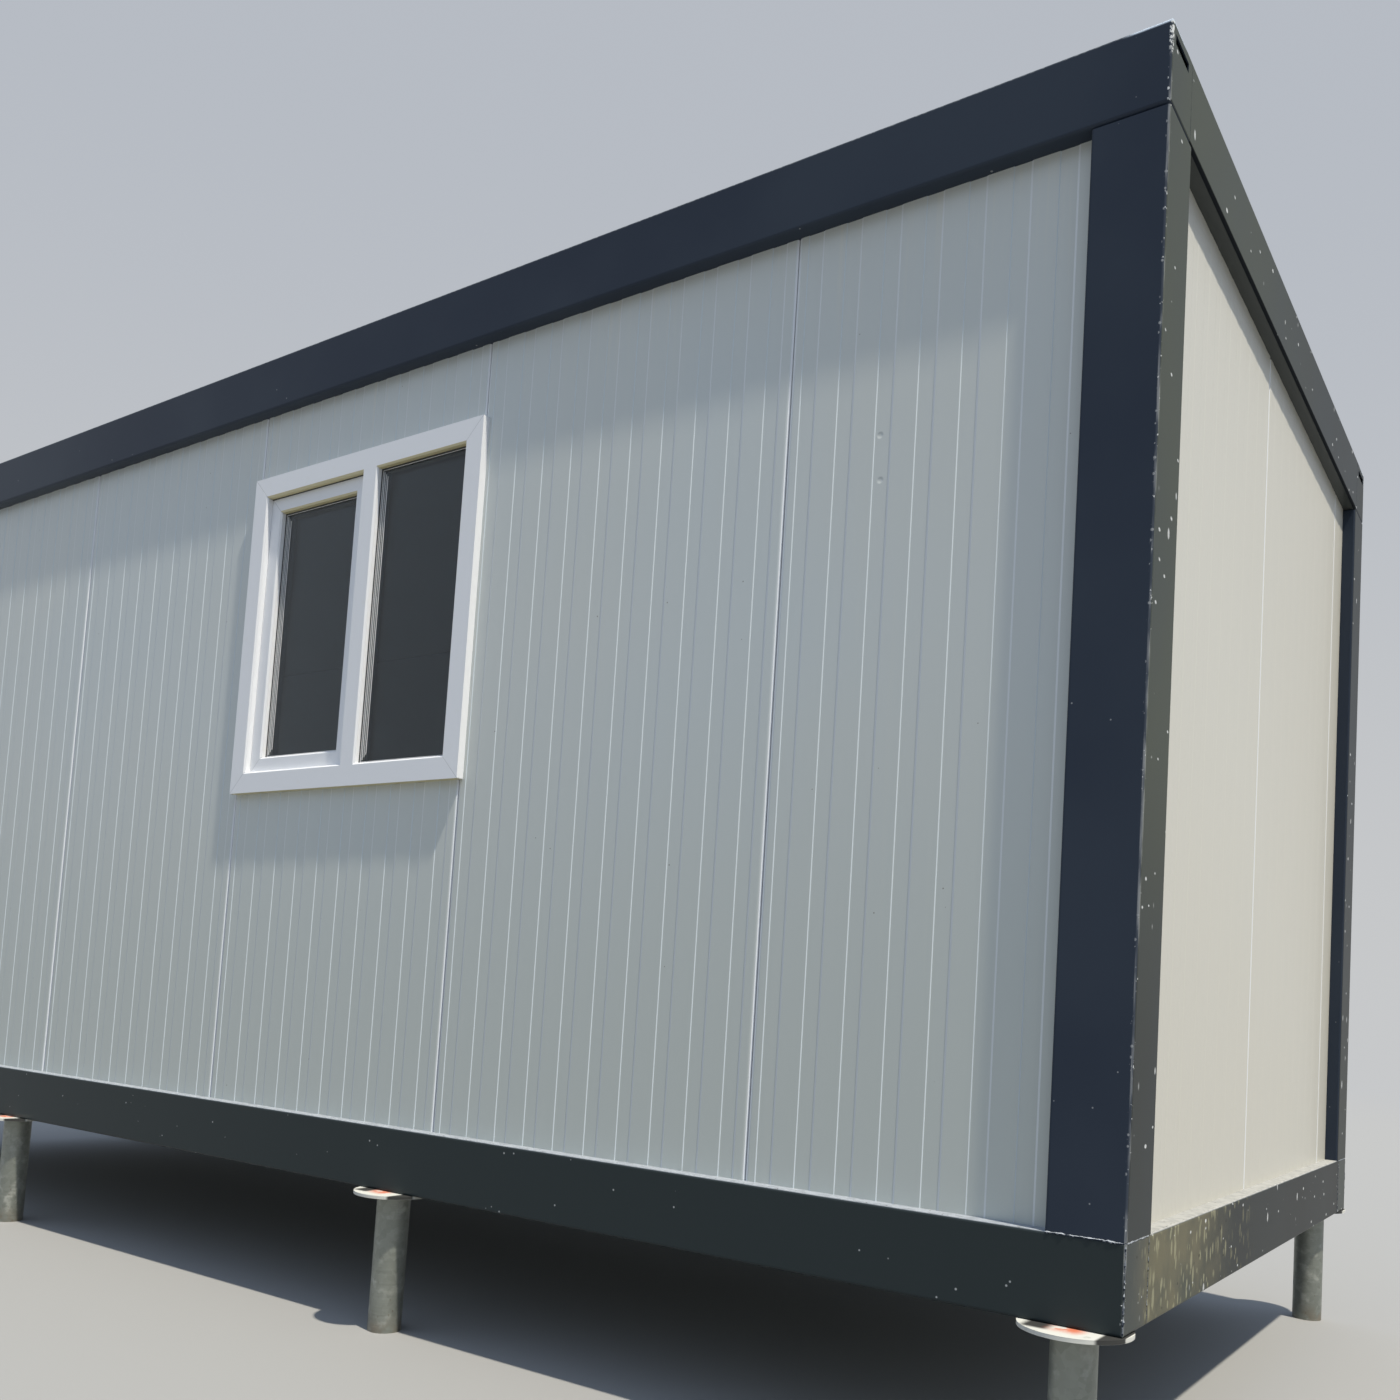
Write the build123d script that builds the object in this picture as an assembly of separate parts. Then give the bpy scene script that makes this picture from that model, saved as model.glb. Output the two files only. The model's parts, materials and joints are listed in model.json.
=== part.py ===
from build123d import *
import os

# Portable site cabin: folded steel frame, ribbed sandwich panels, flat roof, pile feet.
# Origin under the middle of the cabin at ground level, X along the length, front at -Y.
# Every wall is drawn in its own frame: u runs to the right as seen from outside,
# v goes inwards from the face of the frame, Z is up.

# Overall sizes
length = 6000
width = 2400
frame_height = 2520
ground_clearance = 370

# Folded steel frame
base_beam_height = 170
roof_beam_height = 170
post_width = 155
corner_return = 140
frame_steel = 3
bend_radius = 6
seat_flange = 115
gutter_flange = 45
shadow_gap = 6
shadow_gap_depth = 8
lifting_slot_width = 92
lifting_slot_height = 20
lifting_slot_from_corner = 20
lifting_slot_below_top = 22

# Sandwich panels
panel_recess = 38
panel_thickness = 50
cover_width = 1000
joint_gap = 2
tongue_length = 12
tongue_width = 16
tongue_taper = 2
rib_pitch = 100
rib_offset = 27
rib_width = 43
rib_depth = 1.2
rib_slope = 3
door_bay_width = 986
panels_to_window_count = 2
end_narrow_panel = 145
fit_gap = 0.5

# Floor
deck_thickness = 22
joist_spacing = 560
joist_flange = 50
joist_steel = 2
tray_steel = 1.5

# Roof
roof_panel_thickness = 50
roof_rib_height = 35
roof_rib_pitch = 250
roof_rib_foot = 70
roof_rib_top = 30

# Window
window_width = 1015
window_height = 1012
window_below_roof_beam = 217
window_from_joint = 1.5
window_overlap = 18
window_proud = 23
window_face = 66
window_bevel = 5
window_lip = 20
window_rebate = 20
frame_depth_behind_lip = 52
mullion_from_left = 519
sash_face = 48
sash_gap = 4
sash_depth = 56
glass_thickness = 4
glass_unit = 24
glass_edge_cover = 14
spacer_width = 9
bead_width = 18
bead_depth = 16

# Door
door_head_panel = 120
door_face = 70
door_leaf_thickness = 60
door_stile = 110
door_infill_recess = 12
handle_height = 1050
handle_length = 130
handle_width = 20
handle_thickness = 12
handle_chamfer = 3
handle_stand_off = 45
handle_from_edge = 40
handle_neck_radius = 8
handle_plate_width = 32
handle_plate_height = 220
handle_plate_thickness = 9
handle_above_plate_middle = 60

# Piles
pile_radius = 44.5
pile_wall = 4
pile_bore_side_count = 16
pile_flange_radius = 107.5
pile_flange_thickness = 8
pile_end_inset = 100
pile_side_inset = 33
pile_first_span = 1880
pile_middle_span = 2000

# Sizes that follow from the ones above
wall_depth = panel_recess + panel_thickness
base_z = ground_clearance
base_top_z = base_z + base_beam_height
roof_z = base_z + frame_height
roof_beam_z = roof_z - roof_beam_height
wall_height = roof_beam_z - base_top_z
window_top_z = roof_beam_z - window_below_roof_beam
window_z0 = window_top_z - window_height
door_top_z = roof_beam_z - door_head_panel
low = (Align.MIN, Align.MIN, Align.MIN)
low_2d = (Align.MIN, Align.MIN)

front_angle, right_angle, rear_angle, left_angle = 0, 90, 180, 270


def on_side(angle):
    """Place of a wall's frame: u = 0 in the middle, v = 0 on the face of the frame."""
    half_depth = width / 2 if angle in (front_angle, rear_angle) else length / 2
    return Rot(0, 0, angle) * Pos(0, -half_depth, 0)


def box(u0, u1, v0, v1, z0, z1):
    return Pos(u0, v0, z0) * Box(u1 - u0, v1 - v0, z1 - z0, align=low)


def along_u(section, u0, u1, v0, z0):
    """Run a section, drawn with x inwards and y up, from u0 to u1."""
    plane = Plane(origin=(u0, v0, z0), x_dir=(0, 1, 0), z_dir=(1, 0, 0))
    return extrude(plane * section, amount=u1 - u0)


def save(name, *shapes):
    shape = shapes[0] if len(shapes) == 1 else Compound(children=list(shapes))
    export_step(shape, f"parts/{name}.step")


# Frame: folded channels, with welded corner boxes on the long beams
def channel(height, lower_flange, upper_flange):
    section = Rectangle(frame_steel, height, align=low_2d)
    section += Rectangle(lower_flange, frame_steel, align=low_2d)
    section += Pos(0, height - frame_steel) * Rectangle(upper_flange, frame_steel, align=low_2d)
    outer = [v for v in section.vertices() if v.X < frame_steel / 2]
    section = fillet(outer, bend_radius)
    inner = [v for v in section.vertices() if abs(v.X - frame_steel) < 0.01 and
             frame_steel / 2 < v.Y < height - frame_steel / 2]
    return fillet(inner, bend_radius - frame_steel)


def rounded_envelope(run, height, z0):
    """Outer form of a long beam, as three crossed prisms whose bends meet in mitres."""
    depth = corner_return + bend_radius
    section = Rectangle(depth, height, align=low_2d)
    section = fillet(section.vertices().group_by(Axis.X)[0], bend_radius)
    body = along_u(section, -run / 2, run / 2, 0, z0)
    outline = Pos(-run / 2, 0) * Rectangle(run, depth, align=low_2d)
    outline = fillet(outline.vertices().group_by(Axis.Y)[0], bend_radius)
    body = body & Pos(0, 0, z0) * extrude(outline, amount=height)
    face = Rectangle(run, height)
    face = Plane(origin=(0, 0, z0 + height / 2), x_dir=(1, 0, 0), z_dir=(0, 1, 0)) * \
        fillet(face.vertices(), bend_radius)
    return body & extrude(face, amount=depth)


def corner_box(side, run, height, z0):
    outer_u = side * run / 2
    inner_u = side * (run / 2 - post_width)
    u0, u1 = min(outer_u, inner_u), max(outer_u, inner_u)
    t = frame_steel
    shell = box(u0, u1, 0, corner_return, z0, z0 + height)
    return shell - box(u0 + t, u1 - t, t, corner_return - t, z0 + t, z0 + height - t)


def long_beam(height, z0, lower_flange, upper_flange, slotted):
    beam = along_u(channel(height, lower_flange, upper_flange),
                   post_width - length / 2, length / 2 - post_width, 0, z0)
    for side in (-1, 1):
        beam += corner_box(side, length, height, z0)
    beam = beam & rounded_envelope(length, height, z0)
    if slotted:
        slot_top = z0 + height - lifting_slot_below_top
        for side in (-1, 1):
            reach = side * length / 2
            beam -= box(reach - bend_radius, reach + bend_radius, lifting_slot_from_corner,
                        lifting_slot_from_corner + lifting_slot_width,
                        slot_top - lifting_slot_height, slot_top)
    return beam


def short_beam(height, z0, lower_flange, upper_flange):
    half = width / 2 - corner_return - fit_gap
    return along_u(channel(height, lower_flange, upper_flange), -half, half, 0, z0)


for angle, name in ((front_angle, "front"), (rear_angle, "rear")):
    save(f"base_beam_{name}",
         on_side(angle) * long_beam(base_beam_height, base_z, seat_flange, wall_depth, False))
    save(f"roof_beam_{name}",
         on_side(angle) * long_beam(roof_beam_height, roof_beam_z, wall_depth, gutter_flange, True))
for angle, name in ((right_angle, "right"), (left_angle, "left")):
    save(f"base_beam_{name}",
         on_side(angle) * short_beam(base_beam_height, base_z, seat_flange, wall_depth))
    save(f"roof_beam_{name}",
         on_side(angle) * short_beam(roof_beam_height, roof_beam_z, wall_depth, gutter_flange))


# Corner posts: folded L tubes whose legs close the edges of the panels
def corner_post():
    corners = [(0, 0), (-post_width, 0), (-post_width, wall_depth), (-wall_depth, wall_depth),
               (-wall_depth, post_width), (0, post_width)]
    outline = make_face(Polyline(*corners, close=True))
    inside = offset(outline, amount=-frame_steel, kind=Kind.INTERSECTION)
    bends = [v for v in outline.vertices() if v.Y < 0.01 or v.X > -0.01]
    outline = fillet(bends, bend_radius)
    tube_height = wall_height - shadow_gap
    tube = extrude(outline - inside, amount=tube_height)
    neck = extrude(offset(make_face(Polyline(*corners, close=True)), amount=-shadow_gap_depth,
                          kind=Kind.INTERSECTION), amount=wall_height - tube_height + frame_steel)
    neck = Pos(0, 0, tube_height - frame_steel) * neck
    web = extrude(inside, amount=frame_steel)
    web = Pos(0, 0, tube_height - frame_steel) * web
    return Pos(length / 2, -width / 2, base_top_z) * (tube + web + neck)


front_right_post = corner_post()
save("corner_post_front_right", front_right_post)
save("corner_post_front_left", mirror(front_right_post, about=Plane.YZ))
save("corner_post_rear_right", mirror(front_right_post, about=Plane.XZ))
save("corner_post_rear_left", mirror(mirror(front_right_post, about=Plane.XZ), about=Plane.YZ))


# Wall panels: micro-ribbed skin outside, flat skin inside, tongue on the right
# edge and matching groove on the left edge
def panel_section(u0, u1, joint, grooved, tongued):
    t = panel_thickness
    mid = t / 2
    half = tongue_width / 2
    points = [(u0, 0)]
    rib = joint + rib_offset
    while rib + rib_width < u1 - rib_slope:
        if rib > u0 + rib_slope:
            points += [(rib, 0), (rib + rib_slope, rib_depth),
                       (rib + rib_width - rib_slope, rib_depth), (rib + rib_width, 0)]
        rib += rib_pitch
    points += [(u1, 0)]
    if tongued:
        points += [(u1, mid - half), (u1 + tongue_length, mid - half + tongue_taper),
                   (u1 + tongue_length, mid + half - tongue_taper), (u1, mid + half)]
    points += [(u1, t), (u0, t)]
    if grooved:
        deep = u0 + tongue_length
        wide = half + fit_gap
        points += [(u0, mid + wide), (deep, mid + wide - tongue_taper),
                   (deep, mid - wide + tongue_taper), (u0, mid - wide)]
    return make_face(Polyline(*points, close=True))


def panel(u0, u1, joint, grooved, tongued, z0, z1):
    section = panel_section(u0, u1, joint, grooved, tongued)
    return Pos(0, panel_recess, z0) * extrude(section, amount=z1 - z0)


def wall_bays(run, left_panel):
    """Bays from left to right as (u0, u1, joint, grooved, tongued), the first left_panel wide."""
    edge = run / 2 - post_width
    joints = [left_panel - edge]
    while joints[-1] + cover_width < edge:
        joints.append(joints[-1] + cover_width)
    half_gap = joint_gap / 2
    bays = [(fit_gap - edge, joints[0] - half_gap, joints[0] - cover_width, False, True)]
    for joint, following in zip(joints, joints[1:]):
        bays.append((joint + half_gap, following - half_gap, joint, True, True))
    bays.append((joints[-1] + half_gap, edge - fit_gap, joints[-1], True, False))
    return bays


# The front wall's bays are numbered from the right, and its door bay is the last
front_bays = wall_bays(length, door_bay_width)
door_bay = front_bays[0]
window_bay = front_bays[1 + panels_to_window_count]
for index, bay in enumerate(front_bays):
    number = len(front_bays) - index
    if bay is window_bay:
        save("window_panel_lower", on_side(front_angle) *
             panel(*bay, base_top_z, window_z0 + window_overlap - fit_gap))
        save("window_panel_upper", on_side(front_angle) *
             panel(*bay, window_top_z - window_overlap + fit_gap, roof_beam_z))
    elif bay is door_bay:
        save("door_panel_upper", on_side(front_angle) *
             panel(*bay, door_top_z + fit_gap, roof_beam_z))
    else:
        save(f"front_panel_{number}", on_side(front_angle) *
             panel(*bay, base_top_z, roof_beam_z))

save("rear_panels", *[on_side(rear_angle) * panel(*bay, base_top_z, roof_beam_z)
                      for bay in front_bays])

# The end walls mirror each other, numbered from the narrow panel at the rear
end_bays = wall_bays(width, end_narrow_panel)
for number, bay in enumerate(end_bays, 1):
    end_panel = on_side(left_angle) * panel(*bay, base_top_z, roof_beam_z)
    save(f"left_panel_{number}", end_panel)
    save(f"right_panel_{number}", mirror(end_panel, about=Plane.YZ))


# Floor: channel joists on the beams' lower flanges, trays between them, deck on top
def joist_section(height):
    section = Rectangle(joist_steel, height, align=low_2d)
    section += Rectangle(joist_flange, joist_steel, align=low_2d)
    section += Pos(0, height - joist_steel) * Rectangle(joist_flange, joist_steel, align=low_2d)
    return section


joist_height = base_beam_height - frame_steel
joist_bottom_z = base_z + frame_steel
joist_reach = width / 2 - wall_depth - fit_gap
first_joist = length / 2 - post_width - joist_flange - fit_gap
joist_count = round(2 * first_joist / joist_spacing) + 1
joist_pitch = 2 * first_joist / (joist_count - 1)
joist_x = [-first_joist + i * joist_pitch for i in range(joist_count)]
joists = []
for x in joist_x:
    plane = Plane(origin=(x, -joist_reach, joist_bottom_z), x_dir=(1, 0, 0), z_dir=(0, -1, 0))
    joists.append(extrude(plane * joist_section(joist_height), amount=-2 * joist_reach))
save("floor_joists", *joists)

trays = []
for left, right in zip(joist_x[:-1], joist_x[1:]):
    trays.append(box(left + joist_flange + fit_gap, right - fit_gap, -joist_reach, joist_reach,
                     joist_bottom_z, joist_bottom_z + tray_steel))
tray_end_x = length / 2 - bend_radius - fit_gap
tray_end_y = width / 2 - corner_return - fit_gap
for left, right in ((-tray_end_x, joist_x[0] - fit_gap),
                    (joist_x[-1] + joist_flange + fit_gap, tray_end_x)):
    trays.append(box(left, right, -tray_end_y, tray_end_y,
                     joist_bottom_z, joist_bottom_z + tray_steel))
save("floor_trays", *trays)

deck_x = length / 2 - wall_depth - fit_gap
deck_y = width / 2 - wall_depth - fit_gap
deck_top_z = base_top_z + deck_thickness
save("floor_deck", box(-deck_x, deck_x, -deck_y, deck_y, base_top_z, deck_top_z))


# Roof: insulated panels with trapezoid ribs, laid across on the roof beams' lower flanges
def roof_section(x0, x1):
    top = roof_panel_thickness
    points = [(x0, 0), (x0, top)]
    count = round((x1 - x0) / roof_rib_pitch)
    pitch = (x1 - x0) / count
    for i in range(count):
        mid = x0 + (i + 0.5) * pitch
        points += [(mid - roof_rib_foot / 2, top), (mid - roof_rib_top / 2, top + roof_rib_height),
                   (mid + roof_rib_top / 2, top + roof_rib_height), (mid + roof_rib_foot / 2, top)]
    points += [(x1, top), (x1, 0)]
    return make_face(Polyline(*points, close=True))


roof_x = length / 2 - bend_radius - fit_gap
roof_y = width / 2 - bend_radius - fit_gap
roof_count = round(2 * roof_x / cover_width)
roof_pitch = 2 * roof_x / roof_count
roof_bottom_z = roof_beam_z + frame_steel
roof_panels = []
for i in range(roof_count):
    x0 = -roof_x + i * roof_pitch
    plane = Plane(origin=(0, -roof_y, roof_bottom_z), x_dir=(1, 0, 0), z_dir=(0, -1, 0))
    section = roof_section(x0 + fit_gap / 2, x0 + roof_pitch - fit_gap / 2)
    roof_panels.append(extrude(plane * section, amount=-2 * roof_y))
notch_x = length / 2 - post_width - fit_gap
notch_y = width / 2 - corner_return - fit_gap
for i, side in ((0, -1), (roof_count - 1, 1)):
    for row in (-1, 1):
        x0, x1 = sorted((side * notch_x, side * length / 2))
        y0, y1 = sorted((row * notch_y, row * width / 2))
        roof_panels[i] -= box(x0, x1, y0, y1, roof_beam_z, roof_z)
save("roof_panels", *roof_panels)


# Window: mitred plastic frame with a mullion, opening sash on the left, fixed light on the right
def mitred_ring(profile, u0, u1, z0, z1):
    """Sweep a profile (x from the outer edge inwards, y = depth) round a rectangle."""
    middle = (z0 + z1) / 2
    plane = Plane(origin=(u0, 0, middle), x_dir=(1, 0, 0), z_dir=(0, 0, 1))
    path = Wire(Polyline((u0, 0, middle), (u0, 0, z1), (u1, 0, z1), (u1, 0, z0), (u0, 0, z0),
                         close=True))
    return sweep(plane * profile, path=path, transition=Transition.RIGHT)


face_v = panel_recess - window_proud
lip_back = face_v + window_lip
frame_back = lip_back + frame_depth_behind_lip
window_u0 = window_bay[2] + window_from_joint
window_u1 = window_u0 + window_width
rebate = window_face - window_rebate

frame_profile = make_face(Polyline(
    (0, face_v), (window_face - window_bevel, face_v), (window_face, face_v + window_bevel),
    (window_face, lip_back), (rebate, lip_back), (rebate, frame_back),
    (window_overlap, frame_back), (window_overlap, panel_recess), (0, panel_recess), close=True))
window_frame = mitred_ring(frame_profile, window_u0, window_u1, window_z0, window_top_z)

mullion_u0 = window_u0 + mullion_from_left
mullion_u1 = mullion_u0 + window_face
mullion_profile = make_face(Polyline(
    (mullion_u0 + window_bevel, face_v), (mullion_u1 - window_bevel, face_v),
    (mullion_u1, face_v + window_bevel), (mullion_u1, lip_back),
    (mullion_u1 - window_rebate, lip_back), (mullion_u1 - window_rebate, frame_back),
    (mullion_u0 + window_rebate, frame_back), (mullion_u0 + window_rebate, lip_back),
    (mullion_u0, lip_back), (mullion_u0, face_v + window_bevel), close=True))
mullion = Pos(0, 0, window_z0 + rebate) * extrude(mullion_profile,
                                                  amount=window_height - 2 * rebate)
window_frame += mullion
save("window_frame", on_side(front_angle) * window_frame)

sash_u0 = window_u0 + rebate + sash_gap
sash_u1 = mullion_u0 + window_rebate - sash_gap
sash_z0 = window_z0 + rebate + sash_gap
sash_z1 = window_top_z - rebate - sash_gap
sash_front = lip_back + fit_gap
sash_edge = window_rebate - sash_gap + sash_face
sash_rebate = sash_edge - glass_edge_cover
sash_lip = sash_front + window_lip
sash_profile = make_face(Polyline(
    (0, sash_front), (sash_edge - window_bevel, sash_front),
    (sash_edge, sash_front + window_bevel), (sash_edge, sash_lip), (sash_rebate, sash_lip),
    (sash_rebate, sash_front + sash_depth), (0, sash_front + sash_depth), close=True))
save("window_sash", on_side(front_angle) *
     mitred_ring(sash_profile, sash_u0, sash_u1, sash_z0, sash_z1))

# Double glazing: two panes a light, with the spacer between them and beads behind
fixed_edge = mullion_u1 - window_rebate + fit_gap
lights = [
    (sash_u0 + sash_rebate + fit_gap, sash_u1 - sash_rebate - fit_gap,
     sash_z0 + sash_rebate + fit_gap, sash_z1 - sash_rebate - fit_gap, sash_lip),
    (fixed_edge, window_u1 - rebate - fit_gap,
     window_z0 + rebate + fit_gap, window_top_z - rebate - fit_gap, lip_back)]
panes, spacers, beads = [], [], []
for u0, u1, z0, z1, seat in lights:
    inner = seat + glass_unit - glass_thickness
    panes.append(box(u0, u1, seat, seat + glass_thickness, z0, z1))
    panes.append(box(u0, u1, inner, inner + glass_thickness, z0, z1))
    spacer = box(u0, u1, seat + glass_thickness, inner, z0, z1)
    spacers.append(spacer - box(u0 + spacer_width, u1 - spacer_width, seat, seat + glass_unit,
                                z0 + spacer_width, z1 - spacer_width))
    behind = seat + glass_unit
    bead = box(u0, u1, behind, behind + bead_depth, z0, z1)
    beads.append(bead - box(u0 + bead_width, u1 - bead_width, seat, behind + bead_depth,
                            z0 + bead_width, z1 - bead_width))
save("window_glass", *[on_side(front_angle) * pane for pane in panes])
save("glazing_spacers", *[on_side(front_angle) * spacer for spacer in spacers])
save("glazing_beads", *[on_side(front_angle) * bead for bead in beads])

# Door: plain plastic door in the hidden front bay beside the left post
door_u0, door_u1 = door_bay[0], door_bay[1]
door_z0 = base_top_z
door_profile = make_face(Polyline(
    (0, panel_recess), (door_face, panel_recess), (door_face, panel_recess + window_lip),
    (door_face - window_rebate, panel_recess + window_lip), (door_face - window_rebate, wall_depth),
    (0, wall_depth), close=True))
save("door_frame", on_side(front_angle) *
     mitred_ring(door_profile, door_u0, door_u1 - fit_gap, door_z0, door_top_z))

leaf_inset = door_face - window_rebate + sash_gap
leaf_u0, leaf_u1 = door_u0 + leaf_inset, door_u1 - fit_gap - leaf_inset
leaf_z0, leaf_z1 = door_z0 + leaf_inset, door_top_z - leaf_inset
leaf_front = panel_recess + window_lip + fit_gap
leaf = box(leaf_u0, leaf_u1, leaf_front, leaf_front + door_leaf_thickness, leaf_z0, leaf_z1)
leaf_middle = (leaf_z0 + leaf_z1) / 2
for z0, z1 in ((leaf_z0 + door_stile, leaf_middle - door_stile / 2),
               (leaf_middle + door_stile / 2, leaf_z1 - door_stile)):
    field = box(leaf_u0 + door_stile, leaf_u1 - door_stile, leaf_front,
                leaf_front + door_infill_recess, z0, z1)
    leaf -= field
save("door_leaf", on_side(front_angle) * leaf)

handle_u = leaf_u1 - handle_from_edge
handle_z = base_top_z + handle_height
plate_z = handle_z - handle_above_plate_middle
lever_front = leaf_front - handle_stand_off
plate = box(handle_u - handle_plate_width / 2, handle_u + handle_plate_width / 2,
            leaf_front - handle_plate_thickness, leaf_front,
            plate_z - handle_plate_height / 2, plate_z + handle_plate_height / 2)
lever = box(handle_u + handle_width / 2 - handle_length, handle_u + handle_width / 2,
            lever_front, lever_front + handle_thickness,
            handle_z - handle_width / 2, handle_z + handle_width / 2)
neck = Pos(handle_u, leaf_front, handle_z) * Rot(90, 0, 0) * Cylinder(
    handle_neck_radius, handle_stand_off - handle_thickness / 2,
    align=(Align.CENTER, Align.CENTER, Align.MIN))
handle = chamfer(plate.faces().sort_by(Axis.Y)[0].edges(), handle_chamfer)
handle += chamfer(lever.edges(), handle_chamfer) + neck
save("door_handle", on_side(front_angle) * handle)


# Piles: tubes with a welded round flange under the long beams
def pile(x, y):
    tube_height = ground_clearance - pile_flange_thickness
    tube = Cylinder(pile_radius, tube_height, align=(Align.CENTER, Align.CENTER, Align.MIN))
    bore = RegularPolygon(pile_radius - pile_wall, pile_bore_side_count)
    tube -= extrude(bore, amount=tube_height)
    flange = Pos(0, 0, tube_height) * Cylinder(
        pile_flange_radius, pile_flange_thickness, align=(Align.CENTER, Align.CENTER, Align.MIN))
    return Pos(x, y, 0) * (tube + flange)


pile_x = [length / 2 - pile_end_inset]
pile_x += [pile_x[0] - pile_first_span, pile_x[0] - pile_first_span - pile_middle_span,
           -length / 2 + pile_end_inset]
pile_y = width / 2 - pile_side_inset
for row, side in (("front", -1), ("rear", 1)):
    for number, x in enumerate(pile_x, 1):
        save(f"pile_{row}_{number}", pile(x, side * pile_y))
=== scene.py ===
import json
import math
import random
from collections import namedtuple

import bmesh
import bpy
from mathutils import Matrix, Vector


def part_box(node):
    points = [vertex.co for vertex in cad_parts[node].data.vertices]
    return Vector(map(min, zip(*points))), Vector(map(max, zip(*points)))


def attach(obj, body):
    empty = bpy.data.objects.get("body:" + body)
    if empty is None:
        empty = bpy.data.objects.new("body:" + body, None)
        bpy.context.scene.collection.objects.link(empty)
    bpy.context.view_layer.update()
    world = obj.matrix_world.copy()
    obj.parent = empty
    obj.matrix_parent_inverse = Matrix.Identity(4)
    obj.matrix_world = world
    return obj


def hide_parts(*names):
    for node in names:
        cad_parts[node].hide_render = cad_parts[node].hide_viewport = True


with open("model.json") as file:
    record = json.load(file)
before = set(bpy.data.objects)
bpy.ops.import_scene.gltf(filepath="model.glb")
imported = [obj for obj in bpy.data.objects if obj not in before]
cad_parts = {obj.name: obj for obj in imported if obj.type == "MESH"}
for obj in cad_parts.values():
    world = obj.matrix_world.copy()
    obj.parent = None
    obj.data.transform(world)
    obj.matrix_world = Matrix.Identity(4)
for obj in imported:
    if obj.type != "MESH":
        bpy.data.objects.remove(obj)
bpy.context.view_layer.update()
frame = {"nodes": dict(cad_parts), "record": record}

nodes = frame["nodes"]

# Main places of the cabin, in metres, read from the frame
beam_low, beam_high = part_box("roof_beam_front")
base_low, base_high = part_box("base_beam_front")
half_length = beam_high.x
half_width = -beam_low.y
base_bottom = base_low.z
base_top = base_high.z
roof_bottom = beam_low.z
roof_top = beam_high.z
window_low, window_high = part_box("window_frame")
pile_numbers = (1, 2, 3, 4)
pile_places = [(low.x + high.x) / 2 for low, high in
               (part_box(f"pile_front_{number}") for number in pile_numbers)]

# Frame, in metres
post_width = 0.155
corner_return = 0.14

# Wall panels, in metres; a profile is (distance from the panel's edge, depth)
panel_recess = 0.038
panel_thickness = 0.05
cover_width = 1.0
joint_gap = 0.002
fit_gap = 0.0005
door_bay_width = 0.986
end_narrow_panel = 0.145
tongue_length = 0.012
tongue_width = 0.016
tongue_taper = 0.002
rib_pitch = 0.1
rib_offset = 0.027
rib_width = 0.043
rib_depth = 0.0015
rib_slope = 0.0045
rib_sharp_slope = 0.002
end_rib_depth = 0.0004
tongue_lip = ((0.0090, 0.0), (0.0060, 0.0003), (0.0032, 0.0010), (0.0008, 0.0030),
              (0.0, 0.0040))
groove_lip = ((0.0090, 0.0), (0.0065, 0.0006), (0.0030, 0.0022), (0.0, 0.0045))
open_tongue_lip = ((0.0090, 0.0), (0.0060, 0.0004), (0.0032, 0.0013), (0.0008, 0.0039),
                   (0.0, 0.0052))
open_groove_lip = ((0.0220, 0.0), (0.0090, 0.0012), (0.0065, 0.0020), (0.0030, 0.0036),
                   (0.0, 0.0060))
plain_lip = ((0.0020, 0.0), (0.0010, 0.0003), (0.0003, 0.0010), (0.0, 0.0020))
open_joints_end = -0.5
edge_width = 0.0034
edge_slack = 0.0001
panel_dents = ((2.382, -1.162, 2.198), (2.388, -1.162, 2.095))

# Welded and filled seams, in metres: (radius, share by which it wanders), how deep a seam
# is sunk, and how far it stops short of the edge's end
foot_weld = (0.0025, 0.2)
end_foot_weld = (0.0018, 0.3)
foot_weld_sunk = 0.0012
corner_weld = (0.0014, 0.8)
corner_weld_sunk = 0.0018
box_weld = (0.0009, 0.8)
filled_seam = (0.0007, 0.3)
filled_seam_sunk = 0.0005
seam_stop = 0.004
corner_weld_stop = 0.005
bead_pitch = 0.005
bead_sides = 6
bead_end_share = 0.3
bead_drift = 0.3
pile_weld = 0.0032
pile_weld_sunk = 0.0008
pile_weld_wander = 0.25
pile_weld_steps = 60

# Piles and roof, in metres; a turned profile is (radius, height)
pile_radius = 0.0445
pile_flange = 0.008
roof_ribs = 24
roof_screw_rows = (-1.10, -0.37, 0.37, 1.10)
washer = ((0.0095, -0.0005), (0.0095, 0.0010), (0.0060, 0.0022))
washer_sides = 14
screw_head = ((0.0046, 0.0020), (0.0046, 0.0066), (0.0036, 0.0076))
screw_head_sides = 6

# Window, in metres; a painted spacer line on the glass is (inset, width), and so many of its bands
# wide
window_face = 0.066
window_lip = 0.02
mullion_from_left = 0.519
sash_edge = 0.064
seal_width = 0.0045
seal_height = 0.0025
seal_tuck = 0.001
head_seal_drop = 0.0025
painted_line_height = 0.0012
painted_line_edge_width = 0.0014
painted_spacer_lines = ((0.011, 0.0022), (0.019, 0.0014), (0.026, 0.0020))
painted_line_bands = 2.5

# Door, in metres; the drip rail's profile is (out from the leaf, up)
door_face = 0.07
handle_plate = 0.009
handle_plate_half = 0.016
lock_below_top = 0.142
lock_barrel = ((0.0120, -0.0005), (0.0120, 0.0012), (0.0088, 0.0016), (0.0085, 0.0040),
               (0.0080, 0.0045))
plate_screw = ((0.0036, -0.0005), (0.0036, 0.0004), (0.0022, 0.0014))
plate_screw_inset = 0.010
lock_sides = 20
drip_rail = ((0.0, 0.0), (-0.020, 0.003), (-0.022, 0.0), (-0.024, 0.003), (-0.022, 0.010),
             (0.0, 0.030))
drip_rail_side_gap = 0.008
drip_rail_foot_gap = 0.006

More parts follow.
